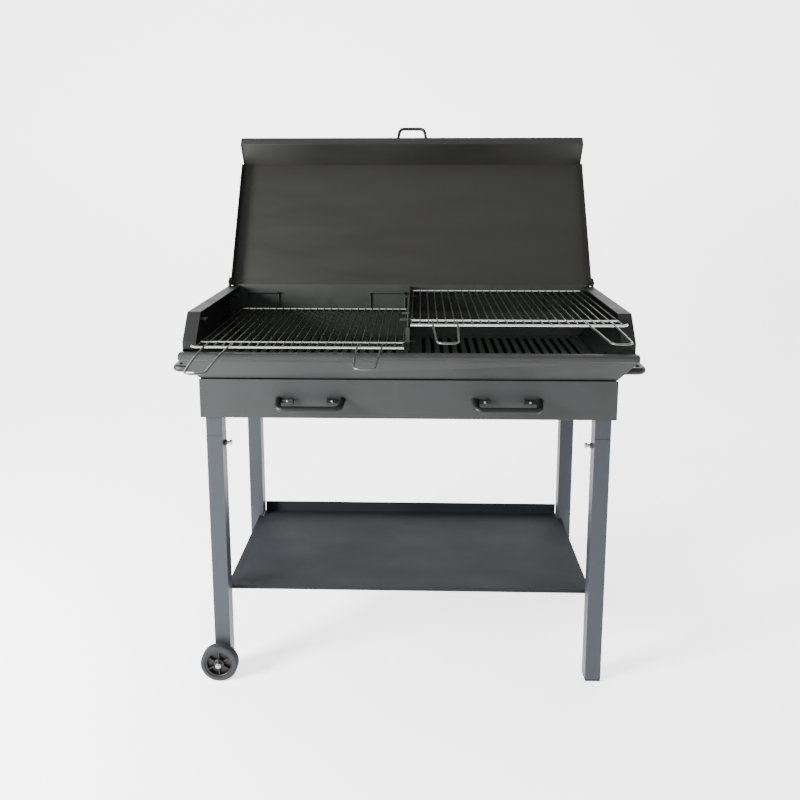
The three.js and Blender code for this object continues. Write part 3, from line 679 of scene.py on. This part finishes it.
class BARBECUE_OT_studio(bpy.types.Operator):
    """Set up the pale floor, soft lights and camera"""

    bl_idname = "barbecue.studio"
    bl_label = "Studio"

    def execute(self, context):
        hues = settings("barbecue_finishes")
        self.floor(hues)
        self.lights()
        self.camera()
        return {"FINISHED"}

    def floor(self, hues):
        """A sheet of paper that lies under the barbecue and curves up behind it."""
        material, tree, surface, place = shader("studio_paper", {"Roughness": 0.9})
        mottle = add_node(tree, "ShaderNodeTexNoise", {"Vector": place, "Scale": spots_of(600)})
        ramp = add_node(tree, "ShaderNodeValToRGB", {"Fac": mottle.outputs["Fac"]})
        ramp.color_ramp.elements[0].color = shade(hues.floor, 0.99)
        ramp.color_ramp.elements[1].color = shade(hues.floor, 1.0)
        tree.links.new(ramp.outputs["Color"], surface.inputs["Base Color"])
        tree.links.new(ramp.outputs["Color"], surface.inputs["Emission Color"])
        # the paper glows by itself, so that it stays pale away from the lamps
        surface.inputs["Emission Strength"].default_value = 2.0
        front, back, height, half_width, curve = -4.0, 3.2, 5.0, 8.0, 1.5
        steps = 12
        edge = [Vector((-half_width, front, 0)), Vector((-half_width, back - curve, 0))]
        for i in range(1, steps + 1):
            angle = i / steps * math.pi / 2
            y = back - curve + curve * math.sin(angle)
            edge.append(Vector((-half_width, y, curve - curve * math.cos(angle))))
        edge.append(Vector((-half_width, back, height)))
        bm = bmesh.new()
        verts = [bm.verts.new(p) for p in edge]
        edges = [bm.edges.new(pair) for pair in zip(verts, verts[1:])]
        grown = bmesh.ops.extrude_edge_only(bm, edges=edges)["geom"]
        far = [g for g in grown if isinstance(g, bmesh.types.BMVert)]
        bmesh.ops.translate(bm, vec=(2 * half_width, 0, 0), verts=far)
        bmesh.ops.recalc_face_normals(bm, faces=bm.faces)
        mesh = bpy.data.meshes.new("studio_floor")
        bm.to_mesh(mesh)
        bm.free()
        mesh.shade_smooth()
        mesh.materials.append(material)
        floor = bpy.data.objects.new("studio_floor", mesh)
        bpy.context.scene.collection.objects.link(floor)

    def lights(self):
        """An even white surround, a bright lamp at the front left and a broad faint one overhead."""
        world = bpy.data.worlds.new("studio_air")
        world.use_nodes = True
        world.node_tree.nodes["Background"].inputs["Color"].default_value = (1, 1, 1, 1)
        world.node_tree.nodes["Background"].inputs["Strength"].default_value = 1.1
        bpy.context.scene.world = world
        lit_point = Vector((0, 0, 0.75))
        # each lamp's place and width in metres, and its power in watts
        lamps = {
            "key": ((-2.6, -1.6, 1.5), 1.0, 400),
            "sky": ((0.5, 0.0, 4.5), 4.0, 30),
        }
        for name, (place, size, power) in lamps.items():
            lamp = bpy.data.lights.new(name, "AREA")
            lamp.size = size
            lamp.energy = power
            lamp.color = (1, 1, 1)
            holder = bpy.data.objects.new(name, lamp)
            holder.location = place
            aim = lit_point - Vector(place)
            holder.rotation_euler = aim.to_track_quat("-Z", "Y").to_euler()
            bpy.context.scene.collection.objects.link(holder)

    def camera(self):
        """A camera that looks slightly down on the front, with its lens shifted downwards."""
        lens = bpy.data.cameras.new("camera")
        lens.sensor_width = 36
        lens.lens = 34.525
        lens.shift_y = -0.1405
        lens.clip_end = 60
        camera = bpy.data.objects.new("camera", lens)
        place = (0.0314, -2.0603, 1.322)
        yaw, pitch, roll = 0.027, 0.159, 0.001  # in radians: to the left, down and about its own line
        turn = (Matrix.Rotation(yaw, 4, "Z") @ Matrix.Rotation(math.pi / 2 - pitch, 4, "X")
                @ Matrix.Rotation(-roll, 4, "Z"))
        camera.matrix_world = Matrix.Translation(place) @ turn
        bpy.context.scene.collection.objects.link(camera)
        bpy.context.scene.camera = camera


class BARBECUE_PT_panel(bpy.types.Panel):
    """The barbecue's tools and settings"""

    bl_idname = "BARBECUE_PT_panel"
    bl_label = "Barbecue"
    bl_space_type = "VIEW_3D"
    bl_region_type = "UI"
    bl_category = "Barbecue"

    def draw(self, context):
        for operator in OPERATORS:
            self.layout.operator(operator.bl_idname)
        for group in GROUPS:
            box = self.layout.box()
            for name in GROUPS[group].__annotations__:
                box.prop(settings(group), name)


OPERATORS = (
    BARBECUE_OT_sheet_metal, BARBECUE_OT_cooking_grates, BARBECUE_OT_grate_rests, BARBECUE_OT_handles,
    BARBECUE_OT_wheels, BARBECUE_OT_fasteners, BARBECUE_OT_studio)
GROUPS = {
    "barbecue_wires": BARBECUE_PG_wires,
    "barbecue_grips": BARBECUE_PG_grips,
    "barbecue_finishes": BARBECUE_PG_finishes,
}


def register():
    for kind in (*GROUPS.values(), *OPERATORS, BARBECUE_PT_panel):
        bpy.utils.register_class(kind)
    for name, group in GROUPS.items():
        setattr(bpy.types.Scene, name, bpy.props.PointerProperty(type=group))


def unregister():
    for name in GROUPS:
        delattr(bpy.types.Scene, name)
    for kind in (BARBECUE_PT_panel, *reversed(OPERATORS), *GROUPS.values()):
        bpy.utils.unregister_class(kind)


def main():
    """Builds every piece in order."""
    register()
    bpy.ops.barbecue.studio()
    bpy.ops.barbecue.sheet_metal()
    bpy.ops.barbecue.cooking_grates()
    bpy.ops.barbecue.grate_rests()
    bpy.ops.barbecue.handles()
    bpy.ops.barbecue.wheels()
    bpy.ops.barbecue.fasteners()


if __name__ == "__main__":
    main()
